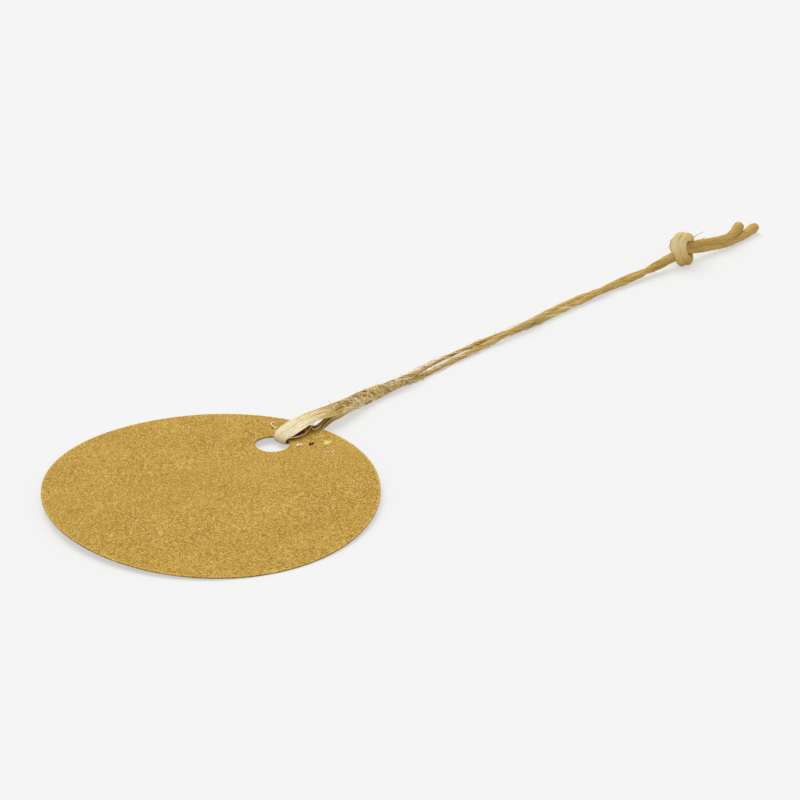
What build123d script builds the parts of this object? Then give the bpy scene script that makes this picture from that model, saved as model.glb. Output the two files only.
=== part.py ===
"""A round kraft gift tag with a doubled length of jute twine, millimetres.

The card has taken a slight arch and lies on its rim, so its lowest points are at z = 0.
The origin is under the middle of the card, +Z is up and +Y runs through the punched hole.
The twine is one length, doubled through the hole: one leg lies over the card and one under it.
Both strands then run loosely twisted to an overhand knot and end in two cut tails.
"""
from build123d import *
import os
from math import cos, pi, radians, sin, sqrt, tan

# Card
card_diameter = 50.0
card_thickness = 0.25
arch_rise = 1.09
ridge_bearing = 31.6  # degrees clockwise from +Y, seen from above
hole_diameter = 5.24
hole_strip = 6.2  # card left between the hole and the rim

# Twine: the bight lies flat where it goes through the hole, and its two legs round off
strand_diameter = 0.85
bight_bearing = 11.46
bight_hole_gap = 0.2
bight_card_gap = 0.25
bight_floor_gap = 0.06
upper_band = (3.0, 0.5)  # width and thickness over the card
fold_band = (2.4, 0.46)
lower_band = (2.4, 0.42)
leg_pitch = 0.92  # between the two strands where the legs come together

# Lift hinge: where the legs come together past the rim
hinge_reach = 15.87  # from the hole's axis
hinge_height = 1.95
hinge_gap = 0.76  # from the end of each leg to the hinge axis

# Run from the hinge to the knot: distance along it, to its left, and height of each point
run_bearing = 11.3
left_run = [
    (0.0, 0.46, 1.95),
    (4.9, 0.82, 2.04),
    (9.6, 1.00, 1.44),
    (14.6, 1.00, 0.80),
    (18.9, 0.64, 0.54),
    (24.1, 0.86, 0.58),
    (28.5, 1.08, 0.52),
    (33.5, 1.11, 0.62),
    (38.4, 1.06, 0.90),
    (42.9, 0.88, 1.34),
    (47.9, 1.18, 1.46),
    (53.4, 1.78, 1.20),
    (59.0, 2.20, 0.74),
    (63.9, 1.78, 0.48),
    (68.8, 1.02, 0.47),
    (73.4, -0.06, 0.88),
    (77.4, -0.48, 2.24),
]
right_run = [
    (0.0, -0.46, 1.95),
    (4.9, -0.14, 1.48),
    (9.6, -0.08, 1.66),
    (14.6, 0.56, 1.74),
    (18.9, 1.14, 1.58),
    (24.1, 2.50, 0.74),
    (28.5, 2.36, 0.76),
    (33.5, 2.15, 0.75),
    (38.4, 2.08, 0.50),
    (42.9, 1.46, 0.46),
    (47.9, 1.00, 0.46),
    (53.4, 0.94, 0.54),
    (59.0, 1.14, 0.68),
    (63.9, 0.92, 1.10),
    (68.8, 0.87, 1.48),
    (73.4, 0.78, 1.68),
    (77.4, 0.60, 1.56),
]

# Overhand knot: both strands run through its core, turn once round it and run out through the turn
knot_reach = 84.7  # along the run
knot_height = 2.52
knot_bearing = 13.7
knot_pitch = 0.96
core_half_length = 2.7
core_point = 1.0  # of each core stretch, where it bows out a little
core_bow = 0.05
turn_half_length = 1.48
turn_half_width = 1.75
turn_half_height = 2.60
turn_lift = 0.36  # of the turn's middle over the core
turn_start, turn_end, turn_steps = 46.0, 494.0, 11  # degrees round the core
whole_turn = 540.0

# Cut tails, on the run's own line
long_tail = [
    (90.5, -1.48, 1.56),
    (93.9, -1.84, 1.16),
    (97.3, -1.82, 0.86),
    (100.8, -1.38, 0.64),
    (104.4, -0.90, 0.54),
]
short_tail = [
    (90.4, -1.36, 2.70),
    (93.6, -1.86, 2.46),
    (96.4, -1.46, 2.42),
    (99.6, -0.52, 2.44),
]

card_radius = card_diameter / 2
hole_radius = hole_diameter / 2
hole_reach = card_radius - hole_strip - hole_radius
arch_radius = (card_radius**2 + arch_rise**2) / (2 * arch_rise)
strand_radius = strand_diameter / 2
margin = 1.0  # how far a cutting shape runs past what it cuts
arc_share = 0.45  # of the shorter run that each arc of a strand takes up


def heading(bearing):
    """The level direction at a bearing clockwise from +Y."""
    return Vector(sin(radians(bearing)), cos(radians(bearing)), 0)


def level_frame(origin, bearing):
    """A frame whose x runs along the bearing, y to its left and z up."""
    return Plane(origin=origin, x_dir=heading(bearing), z_dir=(0, 0, 1))


def card_underside(point):
    """Height of the card's lower face under or over a point."""
    away = point.X * cos(radians(ridge_bearing)) - point.Y * sin(radians(ridge_bearing))
    return arch_rise - arch_radius + sqrt(arch_radius**2 - away**2)


# Frames along the twine
hole_frame = level_frame((0, hole_reach, 0), bight_bearing)
hinge_foot = hole_frame.from_local_coords((hinge_reach, 0, 0))
run_frame = level_frame(hinge_foot, run_bearing)
knot_frame = level_frame(run_frame.from_local_coords((knot_reach, 0, knot_height)), knot_bearing)

# Card: an arched sheet, cut round and punched
ridge_section = Plane(origin=(0, 0, 0), x_dir=heading(ridge_bearing - 90), z_dir=heading(ridge_bearing))
sheet_half_width = card_radius + margin
sheet_half_height = 2 * (arch_rise + card_thickness)
with BuildPart() as tag_card:
    with BuildSketch(ridge_section):
        with Locations((0, arch_rise - arch_radius)):
            Circle(arch_radius + card_thickness)
            Circle(arch_radius, mode=Mode.SUBTRACT)
        with Locations((0, arch_rise)):
            Rectangle(2 * sheet_half_width, 2 * sheet_half_height, mode=Mode.INTERSECT)
    extrude(amount=sheet_half_width, both=True)
    with BuildSketch():
        Circle(card_radius)
        with Locations((0, hole_reach)):
            Circle(hole_radius, mode=Mode.SUBTRACT)
    extrude(amount=sheet_half_height, both=True, mode=Mode.INTERSECT)

# Bight: a flat band that comes in over the card, folds through the hole and goes back under it
fold_edge = hole_frame.from_local_coords((hole_radius, 0, 0))
upper_height = card_underside(fold_edge) + card_thickness + bight_card_gap + upper_band[1] / 2
lower_height = bight_floor_gap + lower_band[1] / 2
fold_height = (upper_height + lower_height) / 2
fold_radius = (upper_height - lower_height) / 2
fold_half_chord = sqrt(hole_radius**2 - (fold_band[0] / 2) ** 2)
fold_reach = fold_half_chord - bight_hole_gap - fold_band[1] / 2 + fold_radius
leg_end = hinge_reach - hinge_gap
round_end = (strand_diameter, strand_diameter)
# Each station: reach, shift to the left, height, direction in degrees up from outwards, and band
upper_leg = [
    (leg_end, leg_pitch / 2, hinge_height, 174, round_end),
    (12.6, 0.72, 2.16, 176, (1.2, 0.8)),
    (9.4, 1.02, 2.24, 181, (2.0, 0.65)),
    (6.2, 0.96, 2.04, 185, (2.7, 0.55)),
    (4.2, 0.60, 1.84, 186, upper_band),
    (fold_reach, 0.0, upper_height, 180, (fold_band[0], upper_band[1])),
]
fold_turns = [
    (
        fold_reach + fold_radius * cos(radians(turn)),
        0.0,
        fold_height + fold_radius * sin(radians(turn)),
        turn + 90,
        fold_band,
    )
    for turn in (110, 145, 180, 215, 250)
]
lower_leg = [
    (fold_reach, 0.0, lower_height, 360, lower_band),
    (5.6, 0.0, lower_height, 360, lower_band),
    (9.6, -0.10, lower_height, 363, (2.0, lower_band[1])),
    (11.2, -0.06, 0.58, 376, (1.4, 0.5)),
    (12.8, -0.30, 1.20, 380, (0.9, 0.75)),
    (leg_end, -leg_pitch / 2, hinge_height, 370, round_end),
]
band_corner = 0.48  # corner radius as a share of the band's thickness
with BuildPart() as twine_bight:
    for reach, shift, height, direction, (width, thickness) in upper_leg + fold_turns + lower_leg:
        forward = hole_frame.x_dir * cos(radians(direction)) + Vector(0, 0, sin(radians(direction)))
        across = Plane(
            origin=hole_frame.from_local_coords((reach, shift, height)),
            x_dir=hole_frame.y_dir,
            z_dir=forward,
        )
        with BuildSketch(across):
            RectangleRounded(width, thickness, band_corner * thickness)
    loft(ruled=True)


def knot_points(side):
    """One strand's points through the knot: side is 1 for the left strand and -1 for the right."""
    half = knot_pitch / 2
    points = [
        (-core_half_length, half, side * half),
        (-core_point, half + core_bow, side * half),
        (turn_half_length - side * half, half, side * half),
    ]
    for step in range(turn_steps + 1):
        turn = turn_start + (turn_end - turn_start) * step / turn_steps
        advance = turn_half_length * (1 - 2 * turn / whole_turn) - side * half
        sideways = turn_half_width * cos(radians(turn))
        rise = turn_lift + turn_half_height * sin(radians(turn))
        points.append((advance, sideways, rise))
    points += [
        (-turn_half_length - side * half, -half, -side * half),
        (core_point, -half - core_bow, -side * half),
        (core_half_length, -half, -side * half),
    ]
    return [knot_frame.from_local_coords(point) for point in points]


def corner_radii(points):
    """The largest arc at each corner that leaves a short straight between arcs."""
    radii = []
    for before, corner, after in zip(points, points[1:], points[2:]):
        half_turn = radians((corner - before).get_angle(after - corner)) / 2
        shorter = min((corner - before).length, (after - corner).length)
        radii.append(arc_share * shorter / tan(half_turn))
    return radii


def middle(first, second):
    return (first + second) / 2


def tube(points, radii, rounded_start=False):
    """A round strand along straight runs joined by tangent arcs, and its path."""
    with BuildPart() as strand:
        with BuildLine() as route:
            FilletPolyline(*points, radius=radii)
        with BuildSketch(Plane(origin=points[0], z_dir=points[1] - points[0])):
            Circle(strand_radius)
        sweep()
        if rounded_start:
            with Locations(points[0]):
                Sphere(strand_radius)
    return strand, route.wires()[0]


def strand_nodes(run, side, tail):
    """One strand as its run, its way through the knot and its tail, which meet face to face."""
    run_part = [run_frame.from_local_coords(point) for point in run]
    knot_part = knot_points(side)
    tail_part = [run_frame.from_local_coords(point) for point in tail]
    radii = corner_radii(run_part + knot_part + tail_part)
    entry = middle(run_part[-1], knot_part[0])
    leave = middle(knot_part[-1], tail_part[0])
    run_corners = len(run_part) - 1
    knot_corners = run_corners + len(knot_part)
    return [
        tube(run_part + [entry], radii[:run_corners], rounded_start=True),
        tube([entry] + knot_part + [leave], radii[run_corners:knot_corners]),
        tube([leave] + tail_part, radii[knot_corners:]),
        radii,
    ]


def samples(path, spacing=0.1):
    count = int(path.length / spacing)
    return [path.position_at(step / count) for step in range(count + 1)]


def least_gap(first, second):
    return min((a - b).length for a in first for b in second) - strand_diameter


def least_gap_to_itself(points, apart=30):
    """The least gap between stretches that lie well apart along one strand."""
    pairs = ((i, j) for i in range(len(points)) for j in range(i + apart, len(points)))
    return min((points[i] - points[j]).length for i, j in pairs) - strand_diameter


left_strand, left_knot, left_tail, left_radii = strand_nodes(left_run, 1, long_tail)
right_strand, right_knot, right_tail, right_radii = strand_nodes(right_run, -1, short_tail)
tubes = {
    "loop_strand_left": left_strand,
    "loop_strand_right": right_strand,
    "knot_strand_left": left_knot,
    "knot_strand_right": right_knot,
    "tail_long": left_tail,
    "tail_short": right_tail,
}

os.makedirs("parts", exist_ok=True)
tag_card.part.label = "tag_card"
export_step(tag_card.part, "parts/tag_card.step")
twine_bight.part.label = "twine_bight"
export_step(twine_bight.part, "parts/twine_bight.step")
for name, (strand, path) in tubes.items():
    strand.part.label = name
    export_step(strand.part, f"parts/{name}.step")

# The twine's own measures
for name, (strand, path) in tubes.items():
    expected = path.length * pi * strand_radius**2
    print(f"{name}: length {path.length:.1f}, volume {strand.part.volume:.2f}, section times length {expected:.2f}")
print("left radii", [round(radius, 2) for radius in left_radii])
print("right radii", [round(radius, 2) for radius in right_radii])
for name in ("loop_strand", "knot_strand"):
    gap = least_gap(samples(tubes[name + "_left"][1]), samples(tubes[name + "_right"][1]))
    print(f"{name}: least gap between left and right {gap:.3f}")
print(f"tails: least gap {least_gap(samples(left_tail[1]), samples(right_tail[1])):.3f}")
for name in ("knot_strand_left", "knot_strand_right"):
    print(f"{name}: least gap to itself {least_gap_to_itself(samples(tubes[name][1])):.3f}")
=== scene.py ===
import math
import random

import bpy
import numpy as np
from mathutils import Matrix, Vector, noise


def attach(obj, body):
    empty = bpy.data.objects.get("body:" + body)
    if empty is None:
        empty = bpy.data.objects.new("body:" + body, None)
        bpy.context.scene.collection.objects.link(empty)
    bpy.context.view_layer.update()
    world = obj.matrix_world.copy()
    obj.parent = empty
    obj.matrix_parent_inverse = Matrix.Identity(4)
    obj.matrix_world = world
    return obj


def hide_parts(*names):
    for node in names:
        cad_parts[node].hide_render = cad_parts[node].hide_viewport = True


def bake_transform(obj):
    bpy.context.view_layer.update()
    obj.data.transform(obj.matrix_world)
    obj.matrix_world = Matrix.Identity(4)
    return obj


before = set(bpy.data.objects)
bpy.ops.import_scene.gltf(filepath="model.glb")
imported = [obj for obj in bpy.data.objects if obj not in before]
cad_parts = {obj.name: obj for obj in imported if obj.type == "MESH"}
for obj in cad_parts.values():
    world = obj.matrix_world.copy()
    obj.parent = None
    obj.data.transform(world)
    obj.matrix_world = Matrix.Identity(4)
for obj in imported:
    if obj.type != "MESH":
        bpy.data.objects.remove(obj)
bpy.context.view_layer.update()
scene = bpy.context.scene

# A round kraft gift tag on a doubled length of jute twine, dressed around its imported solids. Routes and
# sizes are written in millimetres on the part's own frames and turned to metres by MM.
MM = 0.001

# Card, as the part's source has it
CARD_RADIUS = 25.0
CARD_THICKNESS = 0.25
ARCH_RISE = 1.09
RIDGE_BEARING = 31.6
HOLE_RADIUS = 2.62
HOLE_REACH = 16.18
ARCH_RADIUS = (CARD_RADIUS**2 + ARCH_RISE**2) / (2 * ARCH_RISE)

# Card mesh: rings from the hole to the rim, points round each, and the slow cockle of paper
CARD_RINGS = 44
CARD_SEGMENTS = 540
COCKLE_HEIGHT = 0.05
COCKLE_PITCH = 11.0
COCKLE_FINE_SHARE = 0.4
COCKLE_FINE_SCALE = 0.3
# The rim stands a little farther out on the side towards the camera
FRONT_STRETCH = 0.015
FRONT_ANGLE = -55.0
# Raggedness of the cut edges: how far it goes, its pitch, its change through the thickness, how far the
# rim's lies from the hole's, and its finer layer
EDGE_RAGGED = 0.022
EDGE_PITCH = 0.55
EDGE_LAYERS = 3.0
EDGE_APART = 40.0
EDGE_FINE = 2.7
EDGE_BIAS = 0.5
# Each cut edge from its upper to its lower corner: how far in it stands, and its level in the thickness
EDGE_PROFILE = [
    (0.060, 1.00),
    (0.016, 0.93),
    (0.000, 0.76),
    (0.006, 0.50),
    (0.000, 0.25),
    (0.018, 0.06),
    (0.050, 0.00),
]
# A pale line along the rim, a painted highlight on its top edge: where it starts, how far out the face stays
# flat, and the rings of faces that it takes up
RIM_LINE = 0.34
RIM_FLAT = 0.085
RIM_LINE_RINGS = 4
# Material slots of the card's mesh
CUT_SLOT = 1
HIGHLIGHT_SLOT = 2

# Frames along the twine
BIGHT_BEARING = 11.46
HINGE_REACH = 15.87
RUN_BEARING = 11.3
KNOT_PLACE = (83.84, -0.38, 3.0)
KNOT_BEARING = 64.8

# Route from the fold's nose: reach from the hole's axis, shift to the left and height
FOLD_NOSE = (1.94, 0.36, 1.00)
UPPER_LEG = [
    FOLD_NOSE,
    (1.92, 0.36, 1.34),
    (2.22, 0.32, 1.76),
    (3.10, 0.18, 2.06),
    (5.20, 0.36, 2.32),
    (7.40, 0.54, 2.46),
    (9.60, 0.52, 2.40),
    (11.60, 0.36, 2.24),
    (13.60, 0.40, 2.00),
]
LOWER_LEG = [
    FOLD_NOSE,
    (1.98, 0.34, 0.74),
    (2.50, 0.28, 0.50),
    (3.60, 0.18, 0.38),
    (5.80, 0.10, 0.30),
    (9.00, 0.00, 0.29),
    (11.00, 0.04, 0.44),
    (12.40, -0.22, 1.28),
    (14.20, -0.36, 1.50),
]

# Route from the hinge to the knot: distance along it, to its left, and height
LEFT_RUN = [
    (0.6, 0.80, 1.90),
    (5.9, 1.48, 1.54),
    (10.5, 1.64, 1.10),
    (15.0, 1.06, 0.62),
    (19.2, 0.72, 0.42),
    (24.5, 1.14, 0.38),
    (28.8, 1.22, 0.40),
    (33.5, 1.14, 0.54),
    (38.4, 1.06, 0.88),
    (42.9, 0.84, 1.24),
    (47.9, 1.12, 1.26),
    (53.4, 1.66, 0.95),
    (59.0, 2.04, 0.70),
    (63.9, 1.48, 0.52),
    (67.9, 0.68, 0.74),
    (70.9, 0.44, 0.84),
    (73.8, 0.16, 1.10),
    (76.7, 0.08, 1.62),
    (78.6, -0.10, 1.92),
]
RIGHT_RUN = [
    (0.7, -0.06, 1.46),
    (6.1, 0.72, 0.90),
    (11.0, 0.94, 0.78),
    (15.2, 0.86, 1.48),
    (19.4, 1.46, 1.10),
    (24.1, 2.50, 0.60),
    (28.5, 2.72, 0.50),
    (33.5, 2.44, 0.58),
    (38.4, 2.22, 0.46),
    (42.9, 1.52, 0.46),
    (47.9, 0.90, 0.52),
    (53.4, 0.94, 0.70),
    (59.0, 0.92, 0.66),
    (63.9, 0.74, 1.06),
    (67.9, 1.20, 0.90),
    (70.9, 1.04, 1.00),
    (73.8, 0.66, 1.04),
    (76.7, 0.28, 1.00),
    (78.6, -0.06, 1.16),
]
LONG_TAIL = [
    (87.7, -0.88, 1.74),
    (89.6, -1.19, 1.44),
    (92.1, -1.53, 1.16),
    (94.6, -1.83, 0.95),
    (97.3, -1.93, 0.83),
    (100.6, -1.66, 0.84),
    (103.0, -1.26, 0.94),
    (104.3, -1.10, 0.98),
]
SHORT_TAIL = [
    (89.0, -0.47, 2.34),
    (91.1, -1.08, 2.20),
    (93.3, -1.58, 1.98),
    (94.9, -1.93, 1.82),
    (97.3, -1.42, 1.94),
    (99.3, -0.78, 2.02),
    (100.5, -0.50, 2.06),
]

# Overhand knot, as the pair's middle: across the view, away from it and up from the knot's centre, then the
# left strand's shift across, away and up from the middle; the right strand's is the opposite
KNOT = [
    (-2.18, -2.59, -1.20, 0.00, 0.00, 0.38),
    (-1.20, -1.70, -0.95, 0.00, 0.00, 0.40),
    (0.04, -0.11, -0.85, 0.00, 0.00, 0.40),
    (0.80, 1.25, -0.75, 0.00, -0.20, 0.35),
    (1.02, 1.95, -0.25, -0.25, -0.40, 0.20),
    (1.00, 1.90, 0.60, -0.40, -0.50, 0.10),
    (0.84, 1.35, 1.38, -0.48, -0.30, 0.06),
    (0.48, 0.45, 2.02, -0.52, -0.10, 0.10),
    (0.04, -0.40, 2.42, -0.52, 0.00, 0.10),
    (-0.47, -0.95, 1.94, -0.49, 0.00, 0.06),
    (-0.62, -1.45, 1.10, -0.48, 0.00, 0.00),
    (-0.42, -1.72, 0.16, -0.48, 0.00, 0.00),
    (0.02, -1.68, -0.84, -0.48, -0.10, 0.00),
    (0.44, -1.25, -1.74, -0.48, -0.25, 0.00),
    (0.78, -0.45, -2.32, -0.50, -0.32, 0.00),
    (0.92, 0.70, -2.24, -0.50, -0.28, 0.00),
    (0.80, 2.05, -1.50, -0.46, 0.00, 0.00),
    (0.25, 2.55, -0.25, -0.44, 0.00, 0.00),
    (-0.62, 2.05, 0.62, -0.30, 0.00, -0.20),
    (-1.36, 0.90, 0.70, -0.10, 0.00, -0.30),
    (-1.46, -0.20, 0.30, 0.00, 0.00, -0.40),
    (-0.95, -0.72, 0.00, 0.00, 0.00, -0.42),
    (0.15, 0.00, -0.12, 0.00, 0.00, -0.46),
    (1.00, 0.75, -0.26, 0.00, 0.00, -0.48),
    (1.75, 1.60, -0.44, 0.00, 0.00, -0.48),
]

# Strand: points round its section and along its route, and the pitch of its lay
SECTION_POINTS = 64
ROUTE_RESOLUTION = 18
FIBRE_PITCH = 12.0
# Distance from the fold's nose, or back from the cut end where it is negative, then the strand's width and
# thickness, how far its right edge tips up in degrees, how pale it is, and how strong its grain. The
# paleness is partly the twine's own tone and partly painted light and shade: paler on the fold lit above the
# card and on the knot's lit band, darker on the leg under the card and on the knot's lower lobe
UPPER_SECTIONS = [
    # The fold, flat and lit above the card: paler, partly painted light
    (0.0, 2.40, 0.36, 0.0, 1.12, 1.1),
    (1.2, 2.90, 0.36, 4.0, 1.20, 1.1),
    (2.4, 3.60, 0.38, 10.0, 1.22, 1.15),
    (4.2, 3.95, 0.42, 14.0, 1.15, 1.2),
    (6.6, 3.64, 0.48, 13.0, 1.04, 1.2),
    (9.0, 3.40, 0.60, 10.0, 0.90, 1.2),
    (10.5, 3.26, 0.72, 7.5, 0.74, 1.2),
    (11.8, 3.12, 0.82, 5.5, 0.62, 1.2),
    (14.0, 2.50, 0.94, 2.0, 0.68, 1.2),
    (17.5, 1.38, 1.02, 0.0, 0.74, 1.2),
    (23.0, 1.20, 1.10, 0.0, 0.74, 1.1),
    (28.0, 1.20, 1.12, 0.0, 0.70, 1.0),
    (31.0, 0.98, 0.94, 0.0, 0.68, 0.9),
    (36.0, 0.58, 0.56, 0.0, 0.66, 0.9),
    (45.0, 0.78, 0.76, 0.0, 0.65, 0.9),
    (53.0, 0.82, 0.80, 0.0, 0.67, 0.8),
    (70.0, 0.88, 0.86, 0.0, 0.70, 0.7),
    (80.0, 1.00, 0.96, 0.0, 0.64, 0.6),
    (92.0, 1.02, 0.98, 0.0, 0.59, 0.5),
    (97.0, 1.10, 1.06, 0.0, 0.62, 0.4),
    # Through the knot: paler on its lit band and darker on its lower lobe, painted light and shade
    (-41.0, 1.16, 1.10, 0.0, 0.58, 0.4),
    (-38.5, 1.36, 1.30, 0.0, 0.66, 0.4),
    (-36.5, 1.46, 1.38, 0.0, 0.84, 0.4),
    (-34.0, 1.56, 1.48, 0.0, 0.95, 0.4),
    (-32.4, 1.58, 1.50, 0.0, 0.82, 0.4),
    (-31.0, 1.60, 1.52, 0.0, 0.58, 0.4),
    (-28.5, 1.52, 1.46, 0.0, 0.52, 0.4),
    (-25.0, 1.24, 1.18, 0.0, 0.54, 0.4),
    (-19.0, 1.30, 1.24, 0.0, 0.60, 0.4),
    (-6.0, 1.36, 1.28, 0.0, 0.63, 0.4),
    (-2.5, 1.66, 1.56, 0.0, 0.60, 0.4),
    (-0.8, 1.94, 1.82, 0.0, 0.60, 0.4),
    (-0.1, 1.66, 1.56, 0.0, 0.62, 0.4),
]
LOWER_SECTIONS = [
    (0.0, 2.40, 0.36, 0.0, 0.90, 1.0),
    # The leg under the card is darker: painted shade
    (1.2, 2.20, 0.34, 0.0, 0.66, 1.0),
    (4.0, 1.90, 0.32, 0.0, 0.42, 1.0),
    (8.0, 1.80, 0.34, 0.0, 0.38, 1.0),
    (10.0, 1.64, 0.66, 0.0, 0.58, 1.0),
    (12.0, 1.76, 1.28, 0.0, 0.72, 1.1),
    (15.0, 1.44, 1.32, 0.0, 0.74, 1.2),
    (18.0, 1.28, 1.18, 0.0, 0.73, 1.2),
    (23.0, 1.22, 1.14, 0.0, 0.72, 1.1),
    (28.0, 1.18, 1.10, 0.0, 0.70, 1.0),
    (31.0, 1.00, 0.96, 0.0, 0.67, 0.9),
    (36.0, 0.46, 0.44, 0.0, 0.66, 0.9),
    (45.0, 0.54, 0.52, 0.0, 0.65, 0.9),
    (53.0, 0.82, 0.80, 0.0, 0.67, 0.8),
    (70.0, 0.88, 0.86, 0.0, 0.70, 0.7),
    (80.0, 1.00, 0.96, 0.0, 0.64, 0.6),
    (92.0, 1.02, 0.98, 0.0, 0.59, 0.5),
    (97.0, 1.10, 1.06, 0.0, 0.62, 0.4),
    # Through the knot: paler on its lit band and darker on its lower lobe, painted light and shade
    (-39.0, 1.16, 1.10, 0.0, 0.56, 0.4),
    (-36.0, 1.40, 1.34, 0.0, 0.62, 0.4),
    (-33.5, 1.46, 1.38, 0.0, 0.78, 0.4),
    (-31.2, 1.56, 1.48, 0.0, 0.92, 0.4),
    (-29.6, 1.58, 1.50, 0.0, 0.80, 0.4),
    (-28.2, 1.60, 1.52, 0.0, 0.56, 0.4),
    (-25.7, 1.52, 1.46, 0.0, 0.50, 0.4),
    (-22.0, 1.24, 1.18, 0.0, 0.52, 0.4),
    (-16.0, 1.30, 1.24, 0.0, 0.56, 0.4),
    (-5.0, 1.36, 1.28, 0.0, 0.60, 0.4),
    (-2.5, 1.64, 1.54, 0.0, 0.58, 0.4),
    (-0.8, 1.96, 1.80, 0.0, 0.58, 0.4),
    (-0.1, 1.66, 1.54, 0.0, 0.60, 0.4),
]

# Body of a strand: ridges of fibre along its lay, slow swells, and how much darker it is than its loose
# fibres, painted shade in the gaps between them
NOSE_FADE = 1.0
LOBE_HEIGHT = 0.07
LOBE_GRAIN = 4.0
LOBE_DRIFT = 0.16
LOBE_FINE = 2.3
LOBE_BIAS = 0.4
SWELL = 0.10
SWELL_PITCH = 5.0
BODY_PAINTED_SHADE = 0.22
LEFT_SEED = 3.0
RIGHT_SEED = 11.0
# Share of the finer layer in noise of two scales
FINE_SHARE = 0.6

# Loose fibres: their section, their ends, and how far apart their streaks lie
FIBRE_SEED = 41
FIBRE_SIDES = 5
FIBRE_STEP = 0.45
FEWEST_POINTS = 4
TIP_SHARE = 0.12
TIP_RADIUS = 0.25
STREAK_SEEDS = 40
STREAK_APART = (7.3, 3.1)
SIDE_HINT = (0.31, 0.17, 0.93)
FLOOR_CLEARANCE = 0.05

# Fibres that lie along a strand: how many, their lengths and radii, on the run and on the fold
RUN_FIBRES = (420, (5.0, 15.0), (0.035, 0.070))
RUN_FIBRES_START = 12.0
FOLD_FIBRES = (190, (4.0, 13.0), (0.030, 0.065))
FOLD_FIBRES_SPAN = (0.0, 15.0)
FIBRE_TONES = (-0.30, 0.30)
FIBRE_DRIFT = 0.25
FIBRE_WAVE = 0.03
FIBRE_SINK = 0.2
# Some lift off towards one end: how many, how far, and from which share of their length
LIFTED_CHANCE = 0.14
LIFTED_HEIGHTS = (0.05, 0.3)
LIFTED_FROM = 0.75

# Fibres wound round both strands: how far along the strands they may go, their points and their distance out
WRAP_LIMIT = 78.0
WRAP_POINTS = 26
WRAP_ROUND = 0.655
WRAP_RISE = 1.08
WRAP_DRIFT = 0.25
WRAP_LOOSE = 0.05
# How many, where along the run they start, their lengths, turns, radii and tones
WRAPS = [
    (78, (-2.5, 12.5), (1.6, 4.5), (0.20, 0.7), (0.030, 0.060), (0.22, 0.62)),
    (92, (-3.5, 12.5), (1.4, 4.0), (0.20, 0.8), (0.030, 0.055), (0.76, 1.02)),
    (12, (-4.0, 14.0), (0.8, 2.2), (0.40, 0.8), (0.040, 0.060), (1.10, 1.30)),
    (22, (14.0, 44.0), (4.0, 9.0), (0.15, 0.5), (0.025, 0.045), (0.50, 0.95)),
    (6, (14.0, 18.0), (2.0, 4.0), (0.30, 0.7), (0.030, 0.050), (0.40, 0.80)),
]

# Stray hairs: the stretch of the strand that they leave, how many, their lengths, and their splay in degrees
HAIRS = [
    (1.0, 12.0, 6, (0.8, 1.6), (4, 16)),
    (11.0, 30.0, 40, (0.6, 1.6), (5, 30)),
    (30.0, 95.0, 14, (0.4, 1.2), (5, 24)),
    (98.0, 126.0, 24, (0.6, 1.6), (5, 35)),
    (126.0, math.inf, 20, (0.6, 1.6), (5, 30)),
]
HAIR_STEPS = 14
HAIR_RADII = (0.022, 0.040)
HAIR_ROOT = 0.04
HAIR_CURL = 0.20
HAIR_TIP = 0.35
HAIR_TONES = (-0.05, 0.3)

# Fibre tips at a cut end: how many, how far back they start, how far they stand out, their radii and tones
END_FIBRES = 60
END_STEPS = 8
END_FILL = 0.9
END_ROOTS = (1.5, 3.0)
END_TIPS = (0.05, 0.30)
END_RADII = (0.04, 0.08)
END_TONES = (-0.12, 0.14)

# Single curls, each with its radius, tone, share of the radius at its tip, and points
FOLD_CURLS = [
    (
        0.075, 0.95, 0.5,
        [(2.6, -0.9, 1.72), (3.05, -1.6, 1.76), (4.95, -2.0, 1.8), (6.4, -1.55, 1.92), (8.6, -0.4, 2.0)],
    ),
    (
        0.070, 1.00, 0.5,
        [(7.7, -0.4, 1.9), (7.1, -1.55, 1.76), (7.4, -1.95, 1.78), (8.3, -1.85, 1.78), (9.3, -1.4, 1.7)],
    ),
    (0.060, 0.90, 0.5, [(9.5, -1.4, 1.1), (10.0, -1.3, 1.2), (10.5, -0.9, 1.2)]),
]
RUN_CURLS = [
    (0.080, 1.10, 0.5, [(2.16, 0.0, 2.75), (2.0, -0.8, 2.6), (2.0, -1.3, 2.3), (2.32, -1.8, 1.8)]),
    (0.260, 1.00, 0.15, [(86.2, -0.3, 3.6), (87.4, 0.1, 3.75), (89.2, 0.1, 3.85), (90.9, 0.1, 3.9)]),
]
CARD_CURL = (
    0.130, 1.20, 0.8,
    [(-4.0, 22.8, 1.02), (-4.2, 22.1, 1.12), (-3.6, 21.4, 1.14), (-2.4, 21.0, 1.14)],
)
CURL_STREAKS = 900

# Heaps of short fibres: how each turns and climbs at most from step to step
TUFT_BEND = 0.32
TUFT_CLIMB = 0.04
# Dark ones in the gap under the fold, painted shade where the fold shades the card: reach from the hole's
# axis, shift to the left, spread and how many
PAINTED_SHADE_TUFTS = [
    (4.3, -1.10, 0.14, 16),
    (5.2, -0.84, 0.16, 20),
    (6.3, -0.50, 0.18, 22),
]
GAP_HEIGHT = 1.78
GAP_FLATNESS = 0.04
PAINTED_SHADE_FIBRES = ((0.4, 0.8), (0.04, 0.07), (-0.2, 0.1))
# Fibres shed on the card past the fold, placed as the fold is
SHED_PLACE = (8.2, -0.72, 1.30)
SHED_FIBRES = ((0.36, 0.34, 0.04), (0.5, 1.1), (0.030, 0.055), (0.20, 0.55))
SHED_COUNT = 34
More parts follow.
